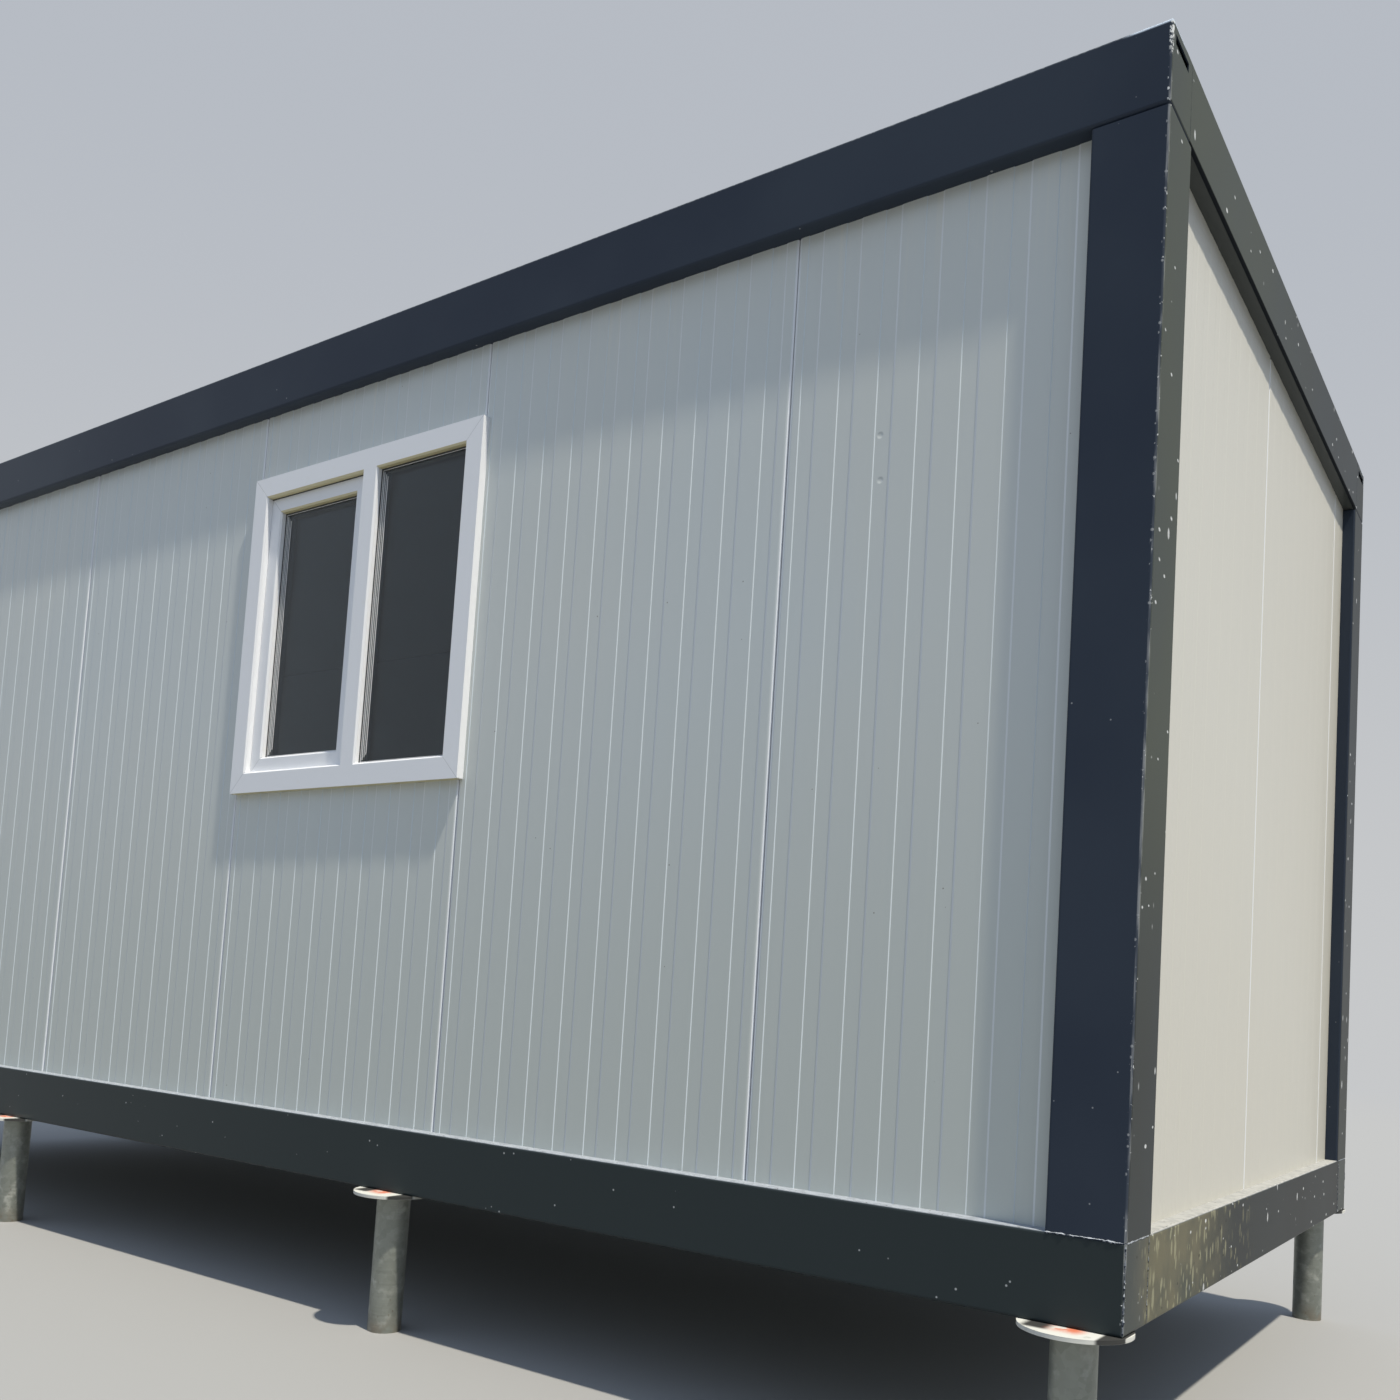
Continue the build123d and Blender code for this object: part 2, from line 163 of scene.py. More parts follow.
# Camera, fitted to the photograph's edges
photo_size = 1400
focal_pixels = 1278.7
principal_x = 717.3
principal_y = 914.4
camera_azimuth = math.radians(34.885)
camera_elevation = math.radians(3.911)
camera_roll = math.radians(3.497)
camera_place = Vector((3.7074, -3.5753, 0.9318))
sensor_width = 36.0
clip_start = 0.05
clip_end = 200.0

# Studio
sun_strength = 4.6
sun_angle = math.radians(1.6)
sun_tone = (1.0, 0.93, 0.80)
towards_sun = Vector((0.418, -0.095, 0.904))
floor_radius = 60.0
floor_sides = 96
floor_fade = (9.0, 24.0)

# Colours, linear
anthracite = (0.028, 0.038, 0.058, 1)
anthracite_light = (0.037, 0.049, 0.069, 1)
anthracite_low = (0.031, 0.041, 0.043, 1)
# Painted reflection on the frame's end faces, and its painted shade
end_painted_reflection = (0.060, 0.069, 0.051, 1)
box_painted_reflection = (0.054, 0.062, 0.058, 1)
end_painted_shade = (0.030, 0.034, 0.031, 1)
low_painted_shade = (0.014, 0.016, 0.016, 1)
# paler painted light on the soffits of the end roof beams
soffit_painted_light = (0.075, 0.080, 0.072, 1)
soffit_shadow = (0.005, 0.006, 0.007, 1)
dust = (0.42, 0.42, 0.40, 1)
dust_front_painted_sky = (0.38, 0.41, 0.45, 1)
dust_line = (0.50, 0.53, 0.57, 1)
crumb = (0.05, 0.045, 0.035, 1)
# pale chips and specks; also the colour of the painted highlights on the edges
pale_chip_and_highlight = (0.72, 0.74, 0.74, 1)
bare_rim_and_highlight = (0.62, 0.70, 0.80, 1)
lichen = (0.42, 0.41, 0.29, 1)
bloom_tone = (0.30, 0.25, 0.13, 1)
mud = (0.016, 0.014, 0.011, 1)
skin = (0.575, 0.605, 0.585, 1)
skin_cool = (0.555, 0.60, 0.60, 1)
# end faces: a painted warm light, and painted shade
skin_end_painted_warm_light = (0.60, 0.59, 0.53, 1)
skin_end_painted_shade = (0.545, 0.520, 0.445, 1)
skin_low = (0.52, 0.555, 0.525, 1)
# painted light of the rib slopes and joint edges, and a painted sky reflection on the slopes
skin_painted_light = (0.77, 0.80, 0.84, 1)
skin_painted_sky_reflection = (0.60, 0.665, 0.70, 1)
skin_run = (0.66, 0.65, 0.57, 1)
skin_dirt = (0.42, 0.41, 0.35, 1)
skin_mark = (0.13, 0.11, 0.09, 1)
roof_tone = (0.35, 0.36, 0.345, 1)
roof_tone_dark = (0.29, 0.30, 0.29, 1)
roof_dirt = (0.16, 0.14, 0.10, 1)
plastic = (0.80, 0.815, 0.84, 1)
plastic_grime_and_painted_ground_light = (0.62, 0.56, 0.32, 1)
plastic_seam = (0.36, 0.38, 0.40, 1)
glass_tint = (0.52, 0.60, 0.66, 1)
zinc = (0.20, 0.215, 0.19, 1)
zinc_light = (0.29, 0.31, 0.28, 1)
zinc_pale = (0.66, 0.66, 0.61, 1)
flange_black = (0.014, 0.015, 0.015, 1)
primer_red = (0.62, 0.13, 0.04, 1)
soil = (0.16, 0.13, 0.09, 1)
spacer_light = (0.86, 0.87, 0.88, 1)
spacer_dark = (0.74, 0.75, 0.76, 1)
handle_light = (0.66, 0.67, 0.68, 1)
handle_dark = (0.55, 0.56, 0.57, 1)
rubber_black = (0.035, 0.036, 0.038, 1)
rubber_dust = (0.20, 0.20, 0.19, 1)
board_dark = (0.30, 0.21, 0.13, 1)
board_light = (0.46, 0.35, 0.23, 1)
floor_lit = (0.22, 0.22, 0.215, 1)
floor_shown = (0.31, 0.31, 0.305, 1)
backdrop_low = (0.57, 0.58, 0.59, 1)
backdrop_high = (0.47, 0.50, 0.55, 1)
horizon = (0.15, 0.165, 0.16, 1)
zenith = (0.52, 0.64, 0.85, 1)

# Bands of the materials, in metres, from where a layer ends to where it is full:
# wear and painted highlights by the distance from a corner edge
edge_highlight_band = (0.0056, 0.0042)
chip_band = (0.0078, 0.0060)
nick_band = (0.0080, 0.0062)
torn_band = (0.009, 0.006)
# wear, painted highlights, dust and its painted sky tint by the distance from the top or the
# outside of the roof beams
top_highlight_band = (0.006, 0.0045)
rim_band = (0.009, 0.005)
rim_reach = (0.105, 0.065)
front_sky_tint_band = (0.045, 0.036)
crumb_band = (0.022, 0.008)
# marks of the window's mitres and of the dents, and the flanges of the piles
mitre_seam_band = (0.0018, 0.0008)
mitre_seam_reach = (0.125, 0.120)
dent_band = (0.002, 0.009)
flange_band = (-0.0085, -0.0075, 0.001, 0.002)
flange_dark_band_reach = (0.062, 0.070, 0.1025, 0.1045)
beam_side_patch_reach = (-0.088, -0.070, -0.040, -0.020)
primer_band = (0.046, 0.014)

# Refraction of the coats
paint_ior = 1.2
glass_ior = 1.38
skin_ior = 1.45
plain_ior = 1.5


class Nodes:
    """A node tree, with helpers for its maths and patterns."""

    def __init__(self, owner, coordinates):
        owner.use_nodes = True
        self.tree = owner.node_tree
        self.tree.nodes.clear()
        self.place = self.node("ShaderNodeTexCoord").outputs[coordinates]
        self.x, self.y, self.z = self.split(self.place)

    def node(self, kind, **settings):
        made = self.tree.nodes.new(kind)
        for key, value in settings.items():
            setattr(made, key, value)
        return made

    def feed(self, socket, value):
        if isinstance(value, bpy.types.NodeSocket):
            self.tree.links.new(value, socket)
        else:
            socket.default_value = value

    def split(self, vector):
        made = self.node("ShaderNodeSeparateXYZ")
        self.feed(made.inputs[0], vector)
        return made.outputs

    def math(self, operation, a, b=0.0):
        made = self.node("ShaderNodeMath", operation=operation)
        self.feed(made.inputs[0], a)
        self.feed(made.inputs[1], b)
        return made.outputs[0]

    def absolute(self, value):
        return self.math("ABSOLUTE", value)

    def minus(self, a, b):
        return self.math("SUBTRACT", a, b)

    def step(self, value, low, high):
        """0 at low and 1 at high, with a smooth ramp between them."""
        made = self.node("ShaderNodeMapRange", interpolation_type="SMOOTHSTEP")
        self.feed(made.inputs["Value"], value)
        self.feed(made.inputs["From Min"], low)
        self.feed(made.inputs["From Max"], high)
        return made.outputs[0]

    def between(self, value, start, full, fading, end):
        """A band: 0 at start, 1 from full to fading, and 0 again at end."""
        return self.both(self.step(value, start, full), self.step(value, end, fading))

    def both(self, *values):
        total = values[0]
        for value in values[1:]:
            total = self.math("MULTIPLY", total, value)
        return total

    def most(self, *values):
        total = values[0]
        for value in values[1:]:
            total = self.math("MAXIMUM", total, value)
        return total

    def stretched(self, stretch):
        made = self.node("ShaderNodeMapping")
        self.feed(made.inputs["Vector"], self.place)
        made.inputs["Scale"].default_value = stretch
        return made.outputs[0]

    def noise(self, scale, detail=3.0, stretch=(1, 1, 1), roughness=0.5):
        made = self.node("ShaderNodeTexNoise")
        self.feed(made.inputs["Vector"], self.stretched(stretch))
        made.inputs["Scale"].default_value = scale
        made.inputs["Detail"].default_value = detail
        made.inputs["Roughness"].default_value = roughness
        return made.outputs[0]

    def dots(self, spacing, radius, share, stretch=(1, 1, 1)):
        """Scattered dots, one in a share of the cells; the largest has the radius given."""
        smallest, soft_edge = 0.35, 0.6
        made = self.node("ShaderNodeTexVoronoi")
        self.feed(made.inputs["Vector"], self.stretched(stretch))
        made.inputs["Scale"].default_value = 1 / spacing
        chosen, size, _ = self.split(made.outputs["Color"])
        edge = self.math("MULTIPLY", self.blend(size, smallest, 1.0), radius / spacing)
        near = self.step(made.outputs["Distance"], edge, self.math("MULTIPLY", edge, soft_edge))
        return self.both(near, self.math("LESS_THAN", chosen, share))

    def mix(self, factor, a, b):
        """Colour b over colour a."""
        made = self.node("ShaderNodeMix", data_type="RGBA")
        self.feed(made.inputs[0], factor)
        self.feed(made.inputs[6], a)
        self.feed(made.inputs[7], b)
        return made.outputs[2]

    def blend(self, factor, a, b):
        """The number a where factor is 0, and b where it is 1."""
        made = self.node("ShaderNodeMix")
        self.feed(made.inputs[0], factor)
        self.feed(made.inputs[2], a)
        self.feed(made.inputs[3], b)
        return made.outputs[0]

    def bump(self, height, distance, strength=1.0, under=None):
        made = self.node("ShaderNodeBump")
        made.inputs["Distance"].default_value = distance
        made.inputs["Strength"].default_value = strength
        self.feed(made.inputs["Height"], height)
        if under is not None:
            self.feed(made.inputs["Normal"], under)
        return made.outputs[0]

    def seen_ray(self):
        """1 for the rays that show the surroundings: camera, mirrored and transmitted ones."""
        path = self.node("ShaderNodeLightPath").outputs
        return self.most(path["Is Camera Ray"], path["Is Glossy Ray"],
                         path["Is Transmission Ray"])


class Shader(Nodes):
    """One material, built node by node in front of a Principled shader."""

    def __init__(self, name, **constants):
        self.material = bpy.data.materials.new(name)
        super().__init__(self.material, "Object")
        self.surface = self.node("ShaderNodeBsdfPrincipled")
        self.output = self.node("ShaderNodeOutputMaterial")
        self.feed(self.output.inputs[0], self.surface.outputs[0])
        self.nx, _, self.nz = self.split(
            self.node("ShaderNodeNewGeometry").outputs["Normal"])
        for socket, value in constants.items():
            self.surface.inputs[socket.replace("_", " ")].default_value = value

    def finish(self, color=None, roughness=None, normal=None, metallic=None):
        for socket, value in (("Base Color", color), ("Roughness", roughness),
                              ("Normal", normal), ("Metallic", metallic)):
            if value is not None:
                self.feed(self.surface.inputs[socket], value)
        return self.material


class FramePaint(Shader):
    """Anthracite paint with the growth, specks, wear and dust of the photograph, and painted
    light: a painted reflection and painted shade on the end faces, painted highlights along the
    edges and the top, a paler painted light and a painted shadow line under the end roof beams,
    and a painted bluish sky tint in the front dust.
    """

    def __init__(self):
        super().__init__("frame_paint", IOR=paint_ior)
        self.end_face = self.step(self.absolute(self.nx), 0.7, 0.9)
        self.on_top = self.step(self.nz, 0.55, 0.9)
        self.from_side = self.minus(half_width, self.absolute(self.y))
        self.from_end = self.minus(half_length, self.absolute(self.x))
        self.from_outside = self.math("MINIMUM", self.from_side, self.from_end)
        self.edge = self.math("ADD", self.from_side, self.from_end)
        self.below_top = self.math("ADD", self.minus(roof_top, self.z), self.from_outside)
        self.low = self.step(self.z, base_top + 0.004, base_top - 0.006)
        self.rearward = self.step(self.y, -0.95, 0.7)
        self.ragged = self.noise(150.0, 4.0, (1, 1, 0.8), 0.65)

    def paint_and_painted_reflection(self):
        """Paint of the long sides, greener low down, and on the end faces a paler greenish painted
        reflection, with painted shade towards the rear, low on the posts and on the base.
        """
        tone = self.mix(self.step(self.noise(1.3, 4.0), 0.35, 0.65), anthracite, anthracite_light)
        tone = self.mix(self.low, tone, anthracite_low)
        # painted shade: the darker tone for the rear, the lower posts and the base
        far_painted_shade = self.mix(self.low, end_painted_shade, low_painted_shade)
        post_foot = self.both(self.step(self.z, 1.6, 0.8), self.minus(1.0, self.low))
        low_middle = self.both(self.low, self.step(self.y, -0.95, -0.25))
        # end faces: a paler greenish painted reflection, turning to painted shade
        painted_reflection = self.mix(self.most(self.rearward, post_foot, low_middle), end_painted_reflection, far_painted_shade)
        in_box = self.step(self.from_side, corner_return + 0.010, corner_return - 0.030)
        painted_reflection = self.mix(self.both(self.low, in_box), painted_reflection, box_painted_reflection)
        patches = self.blend(self.step(self.noise(2.4, 5.0, (1, 1, 0.5)), 0.3, 0.7), 0.7, 1.0)
        return self.mix(self.both(self.end_face, patches), tone, painted_reflection)

    def growth_over(self, tone):
        """Growth and splashed dirt on the end base beams, past the welded corner boxes."""
        past_box = self.both(
            self.step(self.from_side, corner_return - 0.12, corner_return + 0.06),
            self.step(self.rearward, 0.55, 0.20))
        bloom = self.both(self.end_face, self.low, past_box, self.step(self.y, -0.35, -0.75),
                          self.step(self.noise(7.0, 4.0), 0.30, 0.65))
        tone = self.mix(self.both(bloom, 0.34), tone, bloom_tone)
        strokes = self.most(self.dots(0.017, 0.0082, 0.75, (1, 0.8, 0.30)),
                            self.dots(0.012, 0.0056, 0.6, (1, 0.7, 0.4)))
        self.growth = self.both(self.end_face, self.low, past_box, strokes,
                                self.step(self.noise(9.0, 3.0), 0.34, 0.50))
        return self.mix(self.both(self.growth, 0.55), tone, lichen)

    def specks_over(self, tone):
        """Pale specks everywhere, most of them on the end faces, and mud low on the ends."""
        specks = self.most(
            self.both(self.dots(0.045, 0.0036, 0.45), 0.45),
            self.both(self.dots(0.036, 0.0038, 0.32), self.low, 0.7),
            self.both(self.dots(0.034, 0.0050, 0.55, (1, 0.5, 0.8)), self.end_face),
            self.both(self.dots(0.034, 0.0050, 0.5, (1, 0.5, 0.3)), self.end_face, 0.85))
        tone = self.mix(self.both(specks, 0.8), tone, pale_chip_and_highlight)
        splash = self.both(self.dots(0.024, 0.0046, 0.5, (1, 0.5, 0.7)), self.low, self.end_face)
        return self.mix(self.both(splash, 0.8), tone, mud)

    def wear_and_highlights_over(self, tone):
        """Paint worn off the corner edges, most at the top, and painted highlights: a thin pale
        line down the corner edges and along the top edges.
        """
        fine = self.step(self.noise(90.0, 4.0, (1, 1, 0.12)), 0.42, 0.66)
        # painted highlight: a thin pale line down the corner edges
        edge_painted_highlight = self.both(self.step(self.edge, *edge_highlight_band), self.blend(fine, 0.02, 0.24))
        on_fascia = self.step(self.z, roof_bottom + 0.002, roof_bottom + 0.008)
        top_corner = self.step(self.z, roof_top - 0.078, roof_top - 0.045)
        self.chipped = self.both(self.step(self.edge, *chip_band),
                                 self.step(self.ragged, 0.49, 0.53), top_corner)
        nicks = self.both(self.step(self.edge, *nick_band), self.dots(0.013, 0.0044, 0.5),
                          self.blend(on_fascia, 0.35, 1.0))
        torn = self.both(self.step(self.edge, *torn_band), self.step(self.ragged, 0.64, 0.68))
        # painted highlight along the top edges
        top_painted_highlight = self.both(self.step(self.below_top, *top_highlight_band),
                             self.blend(fine, 0.04, 0.20))
        chips = self.most(self.chipped, self.most(nicks, torn))
        return self.mix(self.most(edge_painted_highlight, self.both(chips, 0.95), top_painted_highlight), tone, pale_chip_and_highlight)

    def soffits_over(self, tone):
        """Lower edge and underside of the end roof beams: a paler painted light on the underside,
        and a dark painted shadow line along the lower edge.
        """
        past_corner = self.step(self.from_side, corner_return - 0.001, corner_return + 0.001)
        at_bottom = self.step(self.z, roof_bottom - 0.003, roof_bottom - 0.002)
        # painted light: a paler underside of the beam
        soffit = self.both(past_corner, at_bottom,
                           self.step(self.z, roof_bottom + 0.002, roof_bottom + 0.001),
                           self.step(self.nz, -0.7, -0.95), self.step(self.from_end, 0.007, 0.009))
        tone = self.mix(self.both(soffit, 0.85), tone, soffit_painted_light)
        # painted shadow: a dark line along the beam's lower edge
        self.under = self.both(past_corner, at_bottom,
                               self.step(self.z, roof_bottom + 0.0045, roof_bottom + 0.0030),
                               self.step(self.nz, 0.05, -0.05),
                               self.step(self.from_end, 0.009, 0.007))
        return self.mix(self.both(self.under, 0.85), tone, soffit_shadow)

    def dust_over(self, tone):
        """Dust and crumbs that lie on the upper faces; on the front the dust carries a painted
        bluish sky reflection.
        """
        on_roof = self.step(self.z, roof_bottom, roof_bottom + 0.01)
        patchy = self.blend(self.step(self.noise(60.0, 6.0), 0.30, 0.60),
                            self.blend(on_roof, 0.75, 0.15), self.blend(on_roof, 1.0, 0.5))
        self.settled = self.both(self.on_top, patchy)
        # painted reflection: a bluish dust tone along the front
        dust_and_painted_sky = self.mix(self.step(self.from_side, *front_sky_tint_band), dust, dust_front_painted_sky)
        tone = self.mix(self.both(self.settled, 0.9), tone, dust_and_painted_sky)
        at_rim = self.step(self.from_outside, *crumb_band)
        self.crumbs = self.both(self.on_top,
                                self.most(self.both(self.dots(0.010, 0.0032, 0.55), at_rim),
                                          self.dots(0.022, 0.0035, 0.35)))
        return self.mix(self.both(self.crumbs, 0.8), tone, crumb)

    def rim_over(self, tone):
        """Bare rim along the top of the corners, partly a painted highlight of the lit top edge.
        """
        # bare rim, partly a painted highlight of the lit top edge
        rim = self.both(self.step(self.below_top, *rim_band),
                        self.step(self.edge, *rim_reach), self.step(self.ragged, 0.30, 0.42))
        return self.mix(rim, tone, bare_rim_and_highlight)

    def build(self):
        """Lay the layers over each other; the roughness and the relief follow from them."""
        tone = self.paint_and_painted_reflection()
        for layer in (self.growth_over, self.specks_over, self.wear_and_highlights_over, self.soffits_over,
                      self.dust_over, self.rim_over):
            tone = layer(tone)
        roughness = self.blend(self.noise(6.0, 4.0), 0.12, 0.20)
        roughness = self.blend(self.end_face, roughness, 0.40)
        rough = self.most(self.settled, self.growth, self.chipped, self.under)
        peel = self.bump(self.noise(220.0, 2.0), 0.0004, 0.08)
        wave = self.bump(self.noise(1.8, 1.0), 0.01, 0.08, peel)
        raised = self.most(self.growth, self.crumbs, self.chipped)
        return self.finish(tone, self.blend(rough, roughness, 0.8),
                           self.bump(raised, 0.0006, 0.5, wave))


def weld_metal():
    """Painted weld seams that hold pale dust on their upper side."""
    s = Shader("weld_metal", IOR=paint_ior)
    dusty = s.both(s.step(s.nz, -0.2, 0.5), s.step(s.noise(60.0, 4.0), 0.25, 0.50))
    flaked = s.step(s.noise(150.0, 3.0), 0.56, 0.64)
    tone = s.mix(s.most(s.both(dusty, 0.9), s.both(flaked, 0.6)), anthracite, dust_line)
    return s.finish(tone, s.blend(dusty, 0.35, 0.85), s.bump(s.noise(260.0, 3.0), 0.0006, 0.5))


def panel_skin(name="panel_skin", edge=False):
    """Coil coating of the panels, with painted light: a painted sky reflection and paler painted
    light on the rib slopes by the way they face, a painted highlight on the rolled edges at the
    joints, and on the end faces a painted warm light with painted shade lower down and towards the
    rear.
    """
    s = Shader(name, IOR=skin_ior)
    side = s.absolute(s.nx)
    end_face = s.step(side, 0.62, 0.72)
    tone = s.mix(s.step(s.noise(0.9, 3.0), 0.3, 0.7), skin, skin_cool)
    slope = s.both(s.step(side, 0.12, 0.40), s.minus(1.0, end_face))
    # painted light on the rib slopes: a painted sky reflection on those facing +x, paler painted
    # light on those facing -x
    tone = s.mix(s.both(slope, s.step(s.nx, 0.0, 0.1)), tone, skin_painted_sky_reflection)
    tone = s.mix(s.both(slope, s.step(s.nx, 0.0, -0.1), 0.7), tone, skin_painted_light)
    tone = s.mix(s.step(s.z, 1.9, 0.7), tone, s.mix(slope, skin_low, tone))
    # end faces: a painted warm light, and painted shade lower down and towards the rear
    lower = s.both(s.step(s.z, 2.0, 0.6), 0.55)
    farther = s.both(s.step(s.y, -0.9, 1.1), 0.6)
    tone = s.mix(end_face, tone, s.mix(s.most(lower, farther), skin_end_painted_warm_light, skin_end_painted_shade))
    # the rolled edge over the tongue gets a painted highlight
    if edge:
        tone = s.mix(s.blend(s.noise(14.0, 3.0, (1, 1, 0.2)), 0.8, 1.0), tone, skin_painted_light)

    # Runs of rain under the fascia, grime at the foot, and a few dark marks
    under_fascia = s.step(s.z, roof_bottom - 0.35, roof_bottom)
    runs = s.step(s.noise(1.0, 5.0, (60, 60, 1.3)), 0.54, 0.76)
    tone = s.mix(s.both(runs, s.blend(under_fascia, 0.05, 0.35)), tone, skin_run)
    splashed = s.step(s.noise(22.0, 3.0, (1, 1, 0.4)), 0.40, 0.75)
    grime = s.both(s.both(s.step(s.z, base_top + 0.035, base_top), splashed), 0.15)
    tone = s.mix(grime, tone, skin_dirt)
    tone = s.mix(s.both(s.dots(0.055, 0.0024, 0.22), 0.75), tone, skin_mark)

    roughness = s.blend(grime, s.blend(s.noise(3.0, 3.0), 0.29, 0.36), 0.6)
    normal = s.bump(s.noise(1.6, 1.0, (1, 1, 0.4)), 0.02, 0.03)
    for place in panel_dents:
        away = s.node("ShaderNodeVectorMath", operation="DISTANCE")
        s.feed(away.inputs[0], s.place)
        away.inputs[1].default_value = place
        normal = s.bump(s.step(away.outputs["Value"], *dent_band), 0.0012, 1.0, normal)
    return s.finish(tone, roughness, normal)


def roof_skin():
    """Roof panels, with the dirt of puddles and leaves on their upper side."""
    s = Shader("roof_skin", IOR=plain_ior)
    tone = s.mix(s.step(s.noise(1.4, 4.0), 0.3, 0.7), roof_tone, roof_tone_dark)
    outside = s.step(s.z, roof_bottom + 0.02, roof_bottom + 0.04)
    ponded = s.both(s.step(s.noise(5.0, 8.0, (1, 0.4, 1), 0.65), 0.52, 0.66), outside)
    darkened = s.both(s.most(s.both(ponded, 0.7), s.dots(0.05, 0.014, 0.5, (1, 0.6, 1))), outside)
    tone = s.mix(s.both(darkened, 0.5), tone, roof_dirt)
    normal = s.bump(s.noise(120.0, 3.0), 0.0005, 0.2)
    return s.finish(tone, s.blend(darkened, 0.42, 0.75), normal)


def window_plastic():
    """White plastic, with the mitre seams of the window's outer frame, grime, and a painted
    yellowish ground light on the undersides.
    """
    s = Shader("window_plastic", IOR=plain_ior)
    grime = s.both(s.step(s.noise(26.0, 5.0), 0.60, 0.85), 0.10)
    # undersides: a painted yellowish light from the ground
    under = s.step(s.nz, -0.4, -0.8)
    tone = s.mix(s.most(grime, under), plastic, plastic_grime_and_painted_ground_light)
    lines = []
    for corner_x, across in ((window_low.x, 1), (window_high.x, -1)):
        for corner_z, up in ((window_low.z, 1), (window_high.z, -1)):
            along = s.both(s.minus(s.x, corner_x), across)
            rise = s.both(s.minus(s.z, corner_z), up)
            line = s.step(s.absolute(s.minus(along, rise)), *mitre_seam_band)
            lines.append(s.both(line, s.step(along, *mitre_seam_reach)))
    seams = s.most(*lines)
    tone = s.mix(s.both(seams, 0.5), tone, plastic_seam)
    fine = s.bump(s.noise(300.0, 2.0), 0.0002, 0.06)
    normal = s.bump(s.minus(1.0, seams), 0.0006, 0.6, fine)
    return s.finish(tone, s.blend(s.noise(10.0, 3.0), 0.29, 0.36), normal)


def window_glass():
    s = Shader("window_glass", IOR=glass_ior, Transmission_Weight=1.0, Base_Color=glass_tint)
    haze = s.step(s.noise(7.0, 6.0), 0.50, 0.85)
    normal = s.bump(s.noise(1.7, 1.0), 0.01, 0.02)
    return s.finish(None, s.blend(haze, 0.0, 0.03), normal)


def galvanised_steel():
    """Zinc coat of the piles, pale on the flanges, with dark patches and soil at the foot."""
    s = Shader("galvanised_steel", IOR=plain_ior)
    cells = s.node("ShaderNodeTexVoronoi")
    s.feed(cells.inputs["Vector"], s.place)
    cells.inputs["Scale"].default_value = 70.0
    spangle = s.split(cells.outputs["Color"])[0]
    tone = s.mix(s.blend(0.5, spangle, s.noise(9.0, 5.0, (1, 1, 0.3))), zinc, zinc_light)
    bloom = s.step(s.noise(24.0, 6.0), 0.52, 0.75)
    tone = s.mix(s.both(bloom, 0.35), tone, zinc_pale)
    buried = s.both(s.step(s.z, 0.07, 0.0), s.step(s.noise(30.0, 6.0), 0.3, 0.65))
    tone = s.mix(s.both(buried, 0.75), tone, soil)

    # Flanges: pale, with a dark patch by the beam, a dark band and a dab of primer on each
    plate = s.between(s.z, *(base_bottom + rise for rise in flange_band))
    patchy = s.noise(30.0, 5.0)
    tone = s.mix(s.both(plate, s.step(patchy, 0.10, 0.40), 0.92), tone, zinc_pale)
    beyond_beam = s.minus(s.absolute(s.y), half_width)
    top_side = s.both(plate, s.step(s.nz, 0.6, 0.9))
    from_pile = [s.minus(s.x, x) for x in pile_places]
    flange_dark_band = s.most(*(s.between(x, *flange_dark_band_reach) for x in from_pile))
    primer = s.most(*(s.step(s.absolute(x), *primer_band) for x in from_pile))
    beam_side_dark_patch = s.most(*(s.between(x, *beam_side_patch_reach) for x in from_pile))
    darkened = s.most(s.both(plate, flange_dark_band, s.step(patchy, 0.10, 0.35)),
                   s.both(top_side, beam_side_dark_patch, s.step(beyond_beam, 0.052, 0.034)))
    tone = s.mix(s.both(darkened, 0.97), tone, flange_black)
    primer = s.both(top_side, primer, s.step(beyond_beam, 0.058, 0.010),
                    s.step(patchy, 0.36, 0.54))
    tone = s.mix(s.both(primer, 0.9), tone, primer_red)
    mottled = s.both(s.dots(0.012, 0.0035, 0.5, (1, 1, 0.6)), s.step(s.z, 0.22, 0.05))
    tone = s.mix(s.both(mottled, 0.5), tone, soil)

    wrinkles = s.step(s.noise(1.0, 3.0, (5, 5, 120)), 0.3, 0.8)
    normal = s.bump(wrinkles, 0.0012, 0.35, s.bump(bloom, 0.0005, 0.3))
    metallic = s.blend(s.most(bloom, buried, plate), 0.55, 0.05)
    return s.finish(tone, s.blend(s.most(bloom, plate), 0.45, 0.7), normal, metallic)


def satin_metal(name, tone, other, roughness, stretch=(1, 1, 1), metallic=1.0):
    spread = 0.06
    s = Shader(name, IOR=plain_ior, Metallic=metallic)
    grain = s.noise(400.0, 3.0, stretch)
    return s.finish(s.mix(grain, tone, other),
                    s.blend(grain, roughness - spread, roughness + spread),
                    s.bump(grain, 0.0002, 0.15))


def rubber():
    s = Shader("rubber", IOR=plain_ior)
    dusty = s.step(s.noise(40.0, 4.0), 0.5, 0.8)
    tone = s.mix(s.both(dusty, 0.4), rubber_black, rubber_dust)
    return s.finish(tone, s.blend(dusty, 0.5, 0.8), s.bump(s.noise(500.0, 2.0), 0.0002, 0.2))


def floor_board():
    s = Shader("floor_board", IOR=plain_ior)
    grain = s.noise(3.0, 6.0, (1.5, 30, 30), 0.6)
    tone = s.mix(grain, board_dark, board_light)
    return s.finish(tone, s.blend(grain, 0.5, 0.65), s.bump(grain, 0.0006, 0.3))


materials = {
    "frame_paint": FramePaint().build(),
    "panel_skin": panel_skin(),
    "roof_skin": roof_skin(),
    "window_plastic": window_plastic(),
    "window_glass": window_glass(),
    "spacer_bar": satin_metal("spacer_bar", spacer_light, spacer_dark, 0.5, metallic=0.1),
    "handle_metal": satin_metal("handle_metal", handle_light, handle_dark, 0.36, (0.05, 1, 1)),
    "galvanised_steel": galvanised_steel(),
    "floor_board": floor_board(),
}
